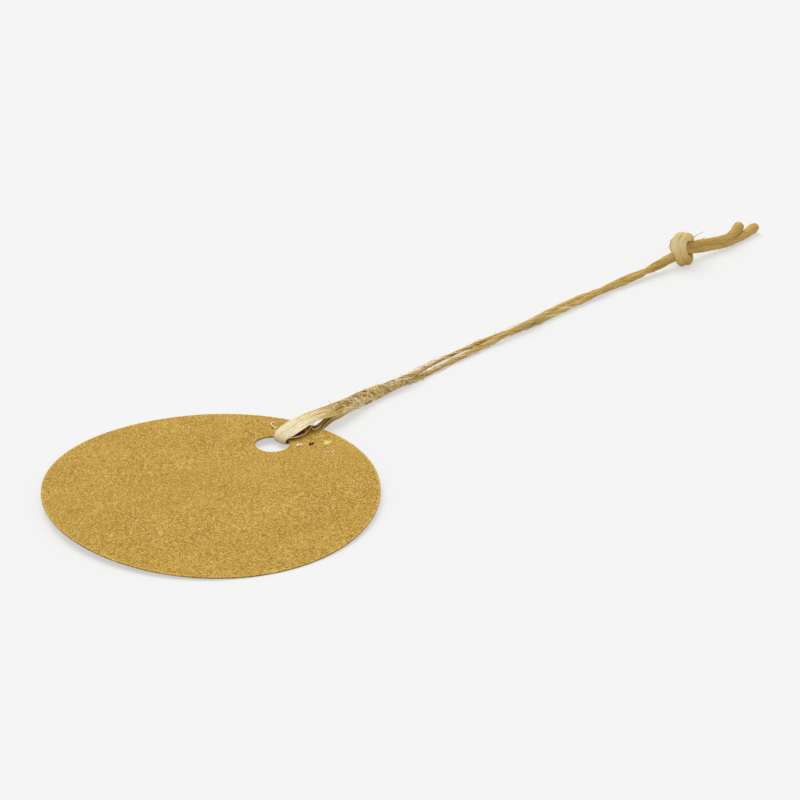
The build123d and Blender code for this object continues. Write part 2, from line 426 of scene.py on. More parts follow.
# Crumbs on the card: how many fibres, place, spread, lengths, radii and tones
STRAW_CRUMB = (30, (6.94, 20.90, 1.37), (0.20, 0.17, 0.06), (0.3, 0.7), (0.11, 0.18), (0.5, 0.9))
CRUMBS = [
    (18, (3.73, 17.95, 1.40), (0.10, 0.10, 0.05), (0.2, 0.4), (0.12, 0.18), (1.2, 1.3)),
    (5, (4.97, 19.30, 1.40), (0.10, 0.08, 0.04), (0.3, 0.5), (0.09, 0.13), (-0.2, -0.1)),
    (2, (8.65, 18.49, 1.40), (0.08, 0.08, 0.03), (0.3, 0.5), (0.07, 0.10), (0.9, 1.1)),
    (2, (9.21, 18.87, 1.40), (0.08, 0.08, 0.03), (0.3, 0.5), (0.07, 0.10), (0.9, 1.1)),
    (2, (-3.01, 20.60, 1.10), (0.08, 0.08, 0.03), (0.3, 0.4), (0.06, 0.09), (-0.1, 0.1)),
]

# Colours of the card, linear
KRAFT_DARK = (0.320, 0.174, 0.018)
KRAFT_MIDDLE = (0.545, 0.319, 0.041)
KRAFT_LIGHT = (0.780, 0.503, 0.112)
KRAFT_STOPS = [(0.46, KRAFT_DARK), (0.635, KRAFT_MIDDLE), (0.81, KRAFT_LIGHT)]
PALE_FLECK = (0.880, 0.660, 0.260)
DARK_FLECK = (0.165, 0.080, 0.012)
# Layers of the card's ground: how many to the metre, and the share of each
CLOUD_SCALE = 130.0
CLOUD_SHARE = 0.18
MOTTLE_SCALE = 900.0
MOTTLE_SHARE = 0.18
GRAIN_SCALE = 5200.0
GRAIN_SHARE = 1.50
GROUND_DROP = 0.295
# How pale the cut edges and the rim's line are against the face: the cut edges darker, partly their own look
# and partly painted shade, and the rim's line paler, a painted highlight
CUT_LIFT = -0.20
HIGHLIGHT_LIFT = 0.10
# Flecks: their stretch, how rare and how sharp they are, then the shift, the turns in degrees and the
# strength of each kind
FLECK_STRETCH = (1600.0, 8400.0, 1600.0)
FLECK_OPENING = 0.622
FLECK_SHARPNESS = 22.0
PALE_FLECKS = (0.031, (14, 71, 128), 0.60)
DARK_FLECKS = (0.083, (38, 101, 163), 0.62)
FLECK_RELIEF = 0.6
# Relief and dullness of card and fibre: bump strength, then how far roughness varies and from what base
KRAFT_BUMP = 0.35
KRAFT_ROUGHNESS = (0.2, 0.72)
JUTE_BUMP = 0.5
JUTE_ROUGHNESS = (0.3, 0.55)
BUMP_HEIGHT = 0.00006
DULL_SPECULAR = 0.10

# Colours of the fibres, from dark to pale
JUTE_STOPS = [
    (0.05, (0.130, 0.054, 0.008)),
    (0.30, (0.400, 0.222, 0.044)),
    (0.52, (0.630, 0.412, 0.112)),
    (0.74, (0.810, 0.604, 0.232)),
    (0.92, (0.930, 0.790, 0.450)),
    (1.00, (0.980, 0.900, 0.640)),
]
STRAW_STOPS = [
    (0.30, (0.700, 0.500, 0.110)),
    (0.80, (0.970, 0.880, 0.330)),
]
# Streaks along the lay: their stretch and share, and the value that leaves the tone as it is
BROAD_STRETCH = (4.2, 4.2, 0.16)
BROAD_SHARE = 0.45
FINE_STRETCH = (13.0, 13.0, 0.42)
FINE_STREAK_SHARE = 0.70
STREAK_MIDDLE = 0.575

# Floor and light
FLOOR_HALF = 3.0
FLOOR_HEIGHT = -0.00002
FLOOR_WHITE = 0.913
FLOOR_GLOW = 0.57
WORLD_LEVEL = 0.52
KEY_ELEVATION = 64.0
KEY_BEARING = -34.0
KEY_SOFTNESS = 55.0

# Camera, fitted to the card's rim, its hole and the twine's ends
CAMERA_PLACE = (223.68, -319.76, 212.50)
CAMERA_AZIMUTH = 30.93
CAMERA_ELEVATION = 26.756
CAMERA_ROLL = 1.411
CAMERA_LENS = 135.0
SENSOR_WIDTH = 36.0
CLIP_NEAR = 0.01
CLIP_FAR = 20.0


def heading(bearing):
    """The level direction at a bearing clockwise from +Y."""
    return Vector((math.sin(math.radians(bearing)), math.cos(math.radians(bearing)), 0.0))


def level_frame(origin, bearing):
    """A frame whose x runs along the bearing, y to its left and z up."""
    ahead = heading(bearing)
    up = Vector((0.0, 0.0, 1.0))
    turned = Matrix((ahead, up.cross(ahead), up)).transposed()
    return Matrix.Translation(origin) @ turned.to_4x4()


hole_frame = level_frame(Vector((0.0, HOLE_REACH, 0.0)), BIGHT_BEARING)
run_frame = level_frame(hole_frame @ Vector((HINGE_REACH, 0.0, 0.0)), RUN_BEARING)
knot_frame = level_frame(run_frame @ Vector(KNOT_PLACE), KNOT_BEARING)


def card_underside(x, y):
    """Height of the card's lower face over a point of the floor."""
    ridge = math.radians(RIDGE_BEARING)
    away = x * np.cos(ridge) - y * np.sin(ridge)
    return ARCH_RISE - ARCH_RADIUS + np.sqrt(ARCH_RADIUS**2 - away**2)


def knot_points(side):
    """One strand's points through the knot: side is 1 for the left strand and -1 for the right."""
    points = []
    for across, away, up, shift_across, shift_away, shift_up in KNOT:
        points.append((across + side * shift_across, away + side * shift_away, up + side * shift_up))
    return points


def placed(local_frame, points):
    """Points given on a frame, as places in the part's frame."""
    return [local_frame @ Vector(point) for point in points]


def route(leg, run, side, tail):
    """The control points of one strand, from the fold's nose to its cut end, in millimetres."""
    return (
        placed(hole_frame, leg)
        + placed(run_frame, run)
        + placed(knot_frame, knot_points(side))
        + placed(run_frame, tail)
    )


def sample_route(name, points):
    """Points along the smooth NURBS line of a route, in metres."""
    data = bpy.data.curves.new(name, "CURVE")
    data.dimensions = "3D"
    spline = data.splines.new("NURBS")
    spline.points.add(len(points) - 1)
    for control, point in zip(spline.points, points):
        control.co = (*(point * MM), 1.0)
    spline.order_u = 3
    spline.use_endpoint_u = True
    spline.resolution_u = ROUTE_RESOLUTION
    line = bpy.data.objects.new(name, data)
    scene.collection.objects.link(line)
    mesh = bpy.data.meshes.new_from_object(line)
    sampled = np.array([vertex.co for vertex in mesh.vertices])
    bpy.data.meshes.remove(mesh)
    bpy.data.objects.remove(line)
    bpy.data.curves.remove(data)
    return sampled


def unit(vectors):
    """Vectors brought to length 1."""
    return vectors / np.linalg.norm(vectors, axis=-1, keepdims=True)


class Strand:
    """A strand's line with the side and top directions, half sizes, paleness and twist of its section."""

    def __init__(self, name, points, sections):
        self.points = sample_route(name, points) / MM
        steps = np.linalg.norm(np.diff(self.points, axis=0), axis=1)
        self.along = np.concatenate([[0.0], np.cumsum(steps)])
        self.length = self.along[-1]
        self.ahead = unit(np.gradient(self.points, self.along, axis=0))
        side = np.array(hole_frame.to_3x3() @ Vector((0.0, 1.0, 0.0)))
        sides = []
        for tangent in self.ahead:
            side = side - tangent * np.dot(side, tangent)
            side = side / np.linalg.norm(side)
            sides.append(side)
        level_sides = np.array(sides)
        level_tops = np.cross(self.ahead, level_sides)
        stations, widths, thicknesses, tips, tones, grains = np.array(sections).T
        stations = np.where(stations < 0, self.length + stations, stations)
        self.half_widths = np.interp(self.along, stations, widths) / 2
        self.half_thicknesses = np.interp(self.along, stations, thicknesses) / 2
        self.tones = np.interp(self.along, stations, tones)
        self.grains = np.interp(self.along, stations, grains)
        tip = np.radians(np.interp(self.along, stations, tips))[:, None]
        self.sides = level_sides * np.cos(tip) - level_tops * np.sin(tip)
        self.tops = level_tops * np.cos(tip) + level_sides * np.sin(tip)
        roundness = np.clip(2 - self.half_widths / self.half_thicknesses, 0.0, 1.0)
        turn_steps = roundness[1:] * steps * 2 * math.pi / FIBRE_PITCH
        self.twist = np.concatenate([[0.0], np.cumsum(turn_steps)])

    def read(self, values, distance):
        """A value held at each point, at a distance along the strand."""
        if values.ndim == 1:
            return np.interp(distance, self.along, values)
        return np.stack([np.interp(distance, self.along, column) for column in values.T], axis=-1)

    def surface(self, distance, angle, lift):
        """A point at an angle of the strand's own lay, lifted off its surface, and the way out."""
        turned = angle + self.read(self.twist, distance)
        across = self.read(self.sides, distance)
        upward = self.read(self.tops, distance)
        half_width = self.read(self.half_widths, distance)[..., None]
        half_thickness = self.read(self.half_thicknesses, distance)[..., None]
        cosine = np.cos(turned)[..., None]
        sine = np.sin(turned)[..., None]
        offset = across * cosine * half_width + upward * sine * half_thickness
        out = unit(across * cosine / half_width + upward * sine / half_thickness)
        return self.read(self.points, distance) + offset + out * lift[..., None], out


def link(name, mesh):
    """A mesh as an object of the scene."""
    piece = bpy.data.objects.new(name, mesh)
    scene.collection.objects.link(piece)
    return piece


def set_point_values(mesh, name, kind, values):
    """Stores a number or a vector at each vertex, for the materials to read."""
    attribute = mesh.attributes.new(name, kind, "POINT")
    field = "value" if kind == "FLOAT" else "vector"
    attribute.data.foreach_set(field, np.asarray(values, dtype=np.float32).ravel())


def ring_faces(rings, points_per_ring, first=0):
    """Quads between neighbouring rings."""
    faces = []
    for ring in range(rings - 1):
        low = first + ring * points_per_ring
        high = low + points_per_ring
        for point in range(points_per_ring):
            following = (point + 1) % points_per_ring
            faces.append((low + point, low + following, high + following, high + point))
    return faces


def rough_noise(place, fine_scale):
    """Noise with a finer layer over it."""
    return noise.noise(place) + FINE_SHARE * noise.noise(place * fine_scale)


def card_point(share, inset, level, angle):
    """A point of the card's skin in metres: at a share of the way from the hole to the rim, and an angle."""
    towards = 1.0 if share == 0.0 else -1.0
    ragged = 0.0
    if share in (0.0, 1.0):
        arc = (HOLE_RADIUS if share == 0.0 else CARD_RADIUS) / EDGE_PITCH
        layer = EDGE_LAYERS * level + EDGE_APART * share
        place = Vector((arc * math.cos(angle), arc * math.sin(angle), layer))
        ragged = EDGE_RAGGED * (rough_noise(place, EDGE_FINE) - EDGE_BIAS)
    reach = HOLE_RADIUS + (CARD_RADIUS - HOLE_RADIUS) * share + towards * (inset - ragged)
    facing = max(0.0, math.cos(angle - math.radians(FRONT_ANGLE)))
    reach *= 1 + FRONT_STRETCH * share * facing
    x = reach * math.cos(angle)
    y = reach * math.sin(angle) + HOLE_REACH * (1 - share)
    cockle = noise.noise(Vector((x, y, 5.0)) / COCKLE_PITCH)
    cockle += COCKLE_FINE_SHARE * noise.noise(Vector((x, y, 9.0)) * COCKLE_FINE_SCALE)
    z = max(0.0, card_underside(x, y)) + CARD_THICKNESS * level
    z += COCKLE_HEIGHT * max(0.0, 0.5 + 0.5 * cockle)
    return (x * MM, y * MM, z * MM)


def make_card():
    """The card: a closed sheet of rings between the punched hole and the rim, with worn cut edges."""
    shares = np.linspace(0.0, 1.0, CARD_RINGS + 1)
    stations = [(0.0, inset, level) for inset, level in reversed(EDGE_PROFILE)]
    stations += [(share, RIM_LINE * share, 1.0) for share in shares[1:-1]]
    stations += [(1.0, RIM_LINE, 1.0), (1.0, RIM_FLAT, 1.0)]
    stations += [(1.0, inset, level) for inset, level in EDGE_PROFILE]
    stations += [(share, 0.0, 0.0) for share in reversed(shares[1:-1])]
    angles = np.linspace(0.0, 2 * math.pi, CARD_SEGMENTS, endpoint=False)
    vertices = []
    for station in stations:
        vertices += [card_point(*station, angle) for angle in angles]
    faces = ring_faces(len(stations), CARD_SEGMENTS)
    last = (len(stations) - 1) * CARD_SEGMENTS
    for point in range(CARD_SEGMENTS):
        following = (point + 1) % CARD_SEGMENTS
        faces.append((last + point, last + following, following, point))
    mesh = bpy.data.meshes.new("card")
    mesh.from_pydata(vertices, [], faces)
    mesh.shade_smooth()
    wall = len(EDGE_PROFILE)
    line_start = wall + CARD_RINGS - 1
    cut_start = line_start + RIM_LINE_RINGS
    cut_stop = line_start + wall + 1
    # The cut walls take the darker coat, partly painted shade, and the rim's first rings of face the paler
    # one, a painted highlight
    for face in mesh.polygons:
        ring = face.index // CARD_SEGMENTS
        if ring < wall - 1 or cut_start <= ring < cut_stop:
            face.material_index = CUT_SLOT
        elif line_start <= ring < cut_start:
            face.material_index = HIGHLIGHT_SLOT
    return link("card", mesh)


def make_strand(name, strand, seed):
    """The strand's body: a bundle whose fibres stand out as ridges along its lay."""
    angles = np.linspace(0.0, 2 * math.pi, SECTION_POINTS, endpoint=False)
    distances = np.repeat(strand.along, SECTION_POINTS)
    turned = np.tile(angles, len(strand.along))
    lays = []
    lifts = []
    shapes = zip(strand.along, strand.half_widths, strand.half_thicknesses, strand.grains)
    for distance, half_width, half_thickness, grain_share in shapes:
        fade = min(1.0, distance / NOSE_FADE)
        swell = fade * SWELL * half_thickness * noise.noise(Vector((seed, 0.0, distance / SWELL_PITCH)))
        for angle in angles:
            lay = (half_width * math.cos(angle), half_thickness * math.sin(angle))
            grain = Vector((lay[0] * LOBE_GRAIN, lay[1] * LOBE_GRAIN + seed, distance * LOBE_DRIFT))
            lobe = rough_noise(grain, LOBE_FINE) - LOBE_BIAS
            lifts.append(swell + fade * LOBE_HEIGHT * min(1.0, grain_share) * lobe)
            lays.append((lay[0], lay[1], distance))
    points = strand.surface(distances, turned, np.array(lifts))[0]
    points[:, 2] = np.maximum(points[:, 2], 0.0)
    rings = len(strand.along)
    faces = ring_faces(rings, SECTION_POINTS)
    faces.append(tuple(range(SECTION_POINTS - 1, -1, -1)))
    faces.append(tuple(range((rings - 1) * SECTION_POINTS, rings * SECTION_POINTS)))
    mesh = bpy.data.meshes.new(name)
    mesh.from_pydata((points * MM).tolist(), [], faces)
    set_point_values(mesh, "lay", "FLOAT_VECTOR", lays)
    # The body is darker than the fibres over it: painted shade in the gaps between them
    shades = strand.tones - BODY_PAINTED_SHADE * strand.grains
    set_point_values(mesh, "tone", "FLOAT", np.repeat(shades, SECTION_POINTS))
    set_point_values(mesh, "grain", "FLOAT", np.repeat(strand.grains, SECTION_POINTS))
    mesh.shade_smooth()
    return link(name, mesh)


class FibreBatch:
    """Many thin fibres gathered into one mesh."""

    def __init__(self):
        self.vertices = []
        self.faces = []
        self.lays = []
        self.tones = []
        self.grains = []

    def add(self, points, radii, tone, seed, grain=1.0):
        """One fibre along points in millimetres, with a radius at each and one tone or a tone at each."""
        ahead = unit(np.gradient(points, axis=0))
        side = np.cross(ahead[0], SIDE_HINT)
        rings = []
        steps = np.linalg.norm(np.diff(points, axis=0), axis=1)
        along = np.concatenate([[0.0], np.cumsum(steps)])
        angles = np.linspace(0.0, 2 * math.pi, FIBRE_SIDES, endpoint=False)
        for point, tangent, radius in zip(points, ahead, radii):
            side = side - tangent * np.dot(side, tangent)
            side = side / np.linalg.norm(side)
            upward = np.cross(tangent, side)
            circle = np.outer(np.cos(angles), side) + np.outer(np.sin(angles), upward)
            rings.append(point + radius * circle)
        first = len(self.vertices)
        for ring, distance, shade in zip(rings, along, np.broadcast_to(tone, len(points))):
            for corner in ring:
                self.vertices.append(tuple(corner * MM))
                self.lays.append((seed * STREAK_APART[0], seed * STREAK_APART[1], distance))
                self.tones.append(shade)
                self.grains.append(grain)
        count = len(points)
        self.faces += ring_faces(count, FIBRE_SIDES, first)
        self.faces.append(tuple(first + corner for corner in reversed(range(FIBRE_SIDES))))
        last = first + (count - 1) * FIBRE_SIDES
        self.faces.append(tuple(last + corner for corner in range(FIBRE_SIDES)))

    def piece(self, name):
        """The batch as one object."""
        mesh = bpy.data.meshes.new(name)
        mesh.from_pydata(self.vertices, [], self.faces)
        set_point_values(mesh, "lay", "FLOAT_VECTOR", self.lays)
        set_point_values(mesh, "tone", "FLOAT", self.tones)
        set_point_values(mesh, "grain", "FLOAT", self.grains)
        mesh.shade_smooth()
        return link(name, mesh)


def taper(count, radius):
    """Radii of a fibre that thins towards both ends."""
    place = np.linspace(0.0, 1.0, count)
    ends = np.minimum(place, 1 - place) / TIP_SHARE
    return radius * (TIP_RADIUS + (1 - TIP_RADIUS) * np.clip(ends, 0.0, 1.0))


def wander(rng, count, amount, waves):
    """A smooth random drift along a fibre."""
    place = np.linspace(0.0, 1.0, count)
    drift = np.zeros(count)
    for wave in range(1, waves + 1):
        drift += rng.uniform(-1, 1) * np.sin(math.pi * wave * place + rng.uniform(0, 2 * math.pi)) / wave
    return amount * drift


def lay_fibres(batch, strand, rng, span, count, lengths, radii):
    """Fibres that lie along a strand's surface and here and there lift off it at an end."""
    for _ in range(count):
        length = rng.uniform(*lengths)
        start = rng.uniform(span[0] - length / 2, span[1] - length / 2)
        distance = np.arange(max(start, 0.0), min(start + length, strand.length), FIBRE_STEP)
        steps = len(distance)
        if steps < FEWEST_POINTS:
            continue
        radius = rng.uniform(*radii)
        angle = rng.choice((-1.0, 1.0)) * math.acos(rng.uniform(-1.0, 1.0))
        angle = angle + wander(rng, steps, FIBRE_DRIFT, 3)
        lift = wander(rng, steps, FIBRE_WAVE, 4) - FIBRE_SINK * radius
        if rng.random() < LIFTED_CHANCE:
            lifted = np.clip((np.linspace(0.0, 1.0, steps) - LIFTED_FROM) / (1 - LIFTED_FROM), 0.0, 1.0)
            lift = lift + rng.uniform(*LIFTED_HEIGHTS) * lifted**2
        points = strand.surface(distance, angle, lift)[0]
        points[:, 2] = np.maximum(points[:, 2], FLOOR_CLEARANCE)
        grain = float(strand.read(strand.grains, distance.mean()))
        tone = strand.read(strand.tones, distance) + grain * rng.uniform(*FIBRE_TONES)
        batch.add(points, taper(steps, radius), tone, rng.random() * STREAK_SEEDS, grain)


def run_crossing(strand, reaches):
    """A strand's points where it passes given reaches along the run, before the knot."""
    inverse = np.array(run_frame.inverted())
    early = strand.along < WRAP_LIMIT
    reach = strand.points[early] @ inverse[0, :3] + inverse[0, 3]
    return np.stack([np.interp(reaches, reach, column) for column in strand.points[early].T], axis=-1)


def wrap_fibres(batch, rng, count, span, lengths, turns, radii, tones):
    """Fibres that wind loosely round both strands of the run together."""
    for _ in range(count):
        start = rng.uniform(*span)
        reaches = np.linspace(start, start + rng.uniform(*lengths), WRAP_POINTS)
        first = run_crossing(left_strand, reaches)
        second = run_crossing(right_strand, reaches)
        apart = first - second
        gap = np.linalg.norm(apart, axis=-1, keepdims=True)
        across = apart / gap
        upward = unit(np.cross(np.gradient(first + second, axis=0), across))
        turn = rng.choice((-1.0, 1.0)) * rng.uniform(*turns) * 2 * math.pi
        angle = rng.uniform(0, 2 * math.pi) + turn * np.linspace(0.0, 1.0, WRAP_POINTS)
        angle = (angle + wander(rng, WRAP_POINTS, WRAP_DRIFT, 3))[:, None]
        loose = (1 + wander(rng, WRAP_POINTS, WRAP_LOOSE, 4))[:, None]
        wide = gap / 2 + WRAP_ROUND
        offset = across * wide * np.cos(angle) + upward * WRAP_ROUND * np.sin(angle) * WRAP_RISE
        points = (first + second) / 2 + loose * offset
        points[:, 2] = np.maximum(points[:, 2], FLOOR_CLEARANCE)
        radius = rng.uniform(*radii)
        batch.add(points, taper(WRAP_POINTS, radius), rng.uniform(*tones), rng.random() * STREAK_SEEDS)


def curl_fibre(batch, local_frame, radius, tone, tip, controls):
    """One fibre along a given route, thinning towards its tip."""
    points = sample_route("curl", placed(local_frame, controls)) / MM
    batch.add(points, radius * np.linspace(1.0, tip, len(points)), tone, radius * CURL_STREAKS)


def tuft(batch, rng, count, middle, spread, lengths, radii, tones):
    """Short curled fibres heaped about a place over the card."""
    for _ in range(count):
        point = np.array([rng.gauss(centre, size) for centre, size in zip(middle, spread)])
        course = rng.uniform(0, 2 * math.pi)
        bend = rng.uniform(-TUFT_BEND, TUFT_BEND)
        climb = rng.uniform(-TUFT_CLIMB, TUFT_CLIMB)
        step = rng.uniform(*lengths) / HAIR_STEPS
        points = []
        for _ in range(HAIR_STEPS + 1):
            points.append(point)
            course += bend
            point = point + step * np.array((math.cos(course), math.sin(course), climb))
        points = np.array(points)
        card_height = card_underside(points[:, 0], points[:, 1]) + CARD_THICKNESS
        points[:, 2] = np.maximum(points[:, 2], card_height + FLOOR_CLEARANCE)
        radius = rng.uniform(*radii)
        batch.add(points, taper(HAIR_STEPS + 1, radius), rng.uniform(*tones), rng.random() * STREAK_SEEDS)


def cut_end(batch, strand, rng, count):
    """Fibre tips that stand out of a cut end."""
    for _ in range(count):
        inner = math.sqrt(rng.random()) * END_FILL
        angle = rng.uniform(0, 2 * math.pi)
        distance = np.linspace(strand.length - rng.uniform(*END_ROOTS), strand.length, END_STEPS)
        rim = strand.surface(distance, np.full(END_STEPS, angle), np.zeros(END_STEPS))[0]
        middle = strand.read(strand.points, distance)
        points = middle + (rim - middle) * inner
        onward = points[-1] + unit(points[-1] - points[-2]) * rng.uniform(*END_TIPS)
        points = np.vstack([points, onward])
        tone = strand.tones[-1] + rng.uniform(*END_TONES)
        radii = taper(END_STEPS + 1, rng.uniform(*END_RADII))
        batch.add(points, radii, tone, rng.random() * STREAK_SEEDS, strand.grains[-1])


def stray_hair(batch, strand, rng, distance, length, radius, splay):
    """A hair that leaves a strand's surface and curls as it goes."""
    angle = np.array(rng.uniform(0, 2 * math.pi))
    start, outward = strand.surface(np.array(distance), angle, np.array(-HAIR_ROOT))
    along = strand.read(strand.ahead, distance) * rng.choice((-1.0, 1.0))
    slope = math.radians(rng.uniform(*splay))
    direction = along * math.cos(slope) + outward * math.sin(slope)
    curl_axis = unit(np.array([rng.gauss(0, 1) for _ in range(3)]))
    curl = rng.uniform(-1.0, 1.0) * HAIR_CURL
    points = [start]
    for _ in range(HAIR_STEPS):
        direction = unit(direction + curl * np.cross(curl_axis, direction))
        following = points[-1] + direction * length / HAIR_STEPS
        following[2] = max(following[2], FLOOR_CLEARANCE)
        points.append(following)
    tone = strand.read(strand.tones, distance) + rng.uniform(*HAIR_TONES)
    radii = radius * np.linspace(1.0, HAIR_TIP, HAIR_STEPS + 1)
    batch.add(np.array(points), radii, tone, rng.random() * STREAK_SEEDS)


# Twine
left_strand = Strand("left_route", route(UPPER_LEG, LEFT_RUN, 1, LONG_TAIL), UPPER_SECTIONS)
right_strand = Strand("right_route", route(LOWER_LEG, RIGHT_RUN, -1, SHORT_TAIL), LOWER_SECTIONS)
twine_left = make_strand("twine_left", left_strand, LEFT_SEED)
twine_right = make_strand("twine_right", right_strand, RIGHT_SEED)

# Fibres along the strands and round them
fibre_random = random.Random(FIBRE_SEED)
twine_fibres = []
for name, strand in (("fibres_left", left_strand), ("fibres_right", right_strand)):
    batch = FibreBatch()
    lay_fibres(batch, strand, fibre_random, (RUN_FIBRES_START, strand.length), *RUN_FIBRES)
    lay_fibres(batch, strand, fibre_random, FOLD_FIBRES_SPAN, *FOLD_FIBRES)
    cut_end(batch, strand, fibre_random, END_FIBRES)
    twine_fibres.append(batch.piece(name))
wraps = FibreBatch()
for wrap in WRAPS:
    wrap_fibres(wraps, fibre_random, *wrap)
twine_fibres.append(wraps.piece("fibres_wrapped"))

# Hairs and curls that stand off the twine
fuzz = FibreBatch()
for strand in (left_strand, right_strand):
    for low, high, count, lengths, splay in HAIRS:
        for _ in range(count):
            distance = fibre_random.uniform(low, min(high, strand.length))
            length = fibre_random.uniform(*lengths)
            radius = fibre_random.uniform(*HAIR_RADII)
            stray_hair(fuzz, strand, fibre_random, distance, length, radius, splay)
for curl in FOLD_CURLS:
    curl_fibre(fuzz, hole_frame, *curl)
for curl in RUN_CURLS:
    curl_fibre(fuzz, run_frame, *curl)
# Dark fibre heaps in the gap under the fold: painted shade
for reach, left, spread, count in PAINTED_SHADE_TUFTS:
    place = hole_frame @ Vector((reach, left, GAP_HEIGHT))
    tuft(fuzz, fibre_random, count, place, (spread, spread, GAP_FLATNESS), *PAINTED_SHADE_FIBRES)
twine_fuzz = fuzz.piece("twine_fuzz")

# What has fallen on the card
straw = FibreBatch()
tuft(straw, fibre_random, *STRAW_CRUMB)
straw_crumb = straw.piece("straw_crumb")
crumbs = FibreBatch()
tuft(crumbs, fibre_random, SHED_COUNT, hole_frame @ Vector(SHED_PLACE), *SHED_FIBRES)
for crumb in CRUMBS:
    tuft(crumbs, fibre_random, *crumb)
curl_fibre(crumbs, Matrix(), *CARD_CURL)
card_crumbs = crumbs.piece("card_crumbs")
card = make_card()


def new_node(tree, kind, settings=None, **sockets):
    """A node with its settings and unlinked sockets filled in; spaces in a socket's name are underscores."""
    node = tree.nodes.new(kind)
    for name, value in (settings or {}).items():
        setattr(node, name, value)
    for name, value in sockets.items():
        node.inputs[name.replace("_", " ")].default_value = value
    return node


def math_node(tree, operation, first, second, clamp=False):
    """A sum, product or like of two values, each a number or a socket."""
    node = new_node(tree, "ShaderNodeMath", {"operation": operation, "use_clamp": clamp})
    for socket, value in zip(node.inputs, (first, second)):
        if isinstance(value, (int, float)):
            socket.default_value = value
        else:
            tree.links.new(value, socket)
    return node.outputs[0]


def ramp_node(tree, value, stops):
    """A colour ramp over a value, from places and linear colours."""
    node = tree.nodes.new("ShaderNodeValToRGB")
    elements = node.color_ramp.elements
    while len(elements) < len(stops):
        elements.new(0.5)
    for element, (place, colour) in zip(elements, stops):
        element.position = place
        element.color = (*colour, 1.0)
    tree.links.new(value, node.inputs[0])
    return node.outputs[0]


def noise_node(tree, vector, scale, detail=2.0, roughness=0.5):
    """Noise over coordinates."""
    node = new_node(tree, "ShaderNodeTexNoise", Scale=scale, Detail=detail, Roughness=roughness)
    tree.links.new(vector, node.inputs["Vector"])
    return node.outputs[0]


def stretched(tree, vector, scale, turn=0.0, shift=0.0):
    """Coordinates turned about Z and stretched, for streaks and fibres."""
    turned = new_node(tree, "ShaderNodeMapping", Rotation=(0.0, 0.0, math.radians(turn)))
    turned.inputs["Location"].default_value = (shift, shift, shift)
    tree.links.new(vector, turned.inputs["Vector"])
    scaled = new_node(tree, "ShaderNodeMapping", Scale=scale)
    tree.links.new(turned.outputs[0], scaled.inputs["Vector"])
    return scaled.outputs[0]


def mix_colours(tree, share, first, second):
    """First blended to second by a share: each colour a socket or a linear colour."""
    node = new_node(tree, "ShaderNodeMix", {"data_type": "RGBA"})
    tree.links.new(share, node.inputs[0])
    for socket, colour in zip((node.inputs[6], node.inputs[7]), (first, second)):
        if isinstance(colour, tuple):
            socket.default_value = (*colour, 1.0)
        else:
            tree.links.new(colour, socket)
    return node.outputs[2]


def new_material(name):
    """A material with its node tree and its surface shader."""
    material = bpy.data.materials.new(name)
    material.use_nodes = True
    return material, material.node_tree, material.node_tree.nodes["Principled BSDF"]


def layer_sum(tree, layers):
    """The sum of values, each times its share."""
    total = None
    for value, share in layers:
        layer = math_node(tree, "MULTIPLY", value, share)
        total = layer if total is None else math_node(tree, "ADD", total, layer)
    return total


def set_relief(tree, shader, height, strength):
    """Bump from a height, and a surface with little shine."""
    bump = new_node(tree, "ShaderNodeBump", Strength=strength, Distance=BUMP_HEIGHT)
    tree.links.new(height, bump.inputs["Height"])
    tree.links.new(bump.outputs[0], shader.inputs["Normal"])
    shader.inputs["Specular IOR Level"].default_value = DULL_SPECULAR


def set_roughness(tree, shader, value, share, base):
    """Roughness that follows a value from a base upwards."""
    rough = math_node(tree, "ADD", math_node(tree, "MULTIPLY", value, share), base)
    tree.links.new(rough, shader.inputs["Roughness"])


def flecks(tree, place, shift, turns):
    """Short fibres that lie at several turns: 1 on a fibre and 0 between."""
    layers = None
    for turn in turns:
        streak = noise_node(tree, stretched(tree, place, FLECK_STRETCH, turn, shift), 1.0, 1.0)
        layers = streak if layers is None else math_node(tree, "MAXIMUM", layers, streak)
    opened = math_node(tree, "SUBTRACT", layers, FLECK_OPENING)
    return math_node(tree, "MULTIPLY", opened, FLECK_SHARPNESS, clamp=True)


def kraft_material(name, lift):
    """Uncoated kraft: a mottled ground, fine grain, and short pale and dark fibres every way."""
    material, tree, shader = new_material(name)
    place = tree.nodes.new("ShaderNodeTexCoord").outputs["Object"]
    cloud = noise_node(tree, place, CLOUD_SCALE, 3.0)
    mottle = noise_node(tree, place, MOTTLE_SCALE, 3.0, 0.6)
    grain = noise_node(tree, place, GRAIN_SCALE, 2.0, 0.65)
    ground = layer_sum(tree, [(cloud, CLOUD_SHARE), (mottle, MOTTLE_SHARE), (grain, GRAIN_SHARE)])
    colour = ramp_node(tree, math_node(tree, "ADD", ground, lift - GROUND_DROP), KRAFT_STOPS)
    pale_shift, pale_turns, pale_strength = PALE_FLECKS
    dark_shift, dark_turns, dark_strength = DARK_FLECKS
    pale = flecks(tree, place, pale_shift, pale_turns)
    dark = flecks(tree, place, dark_shift, dark_turns)
    colour = mix_colours(tree, math_node(tree, "MULTIPLY", pale, pale_strength), colour, PALE_FLECK)
    colour = mix_colours(tree, math_node(tree, "MULTIPLY", dark, dark_strength), colour, DARK_FLECK)
    tree.links.new(colour, shader.inputs["Base Color"])
    relief = math_node(tree, "ADD", grain, math_node(tree, "MULTIPLY", pale, FLECK_RELIEF))
    set_relief(tree, shader, relief, KRAFT_BUMP)
    set_roughness(tree, shader, grain, *KRAFT_ROUGHNESS)
    return material


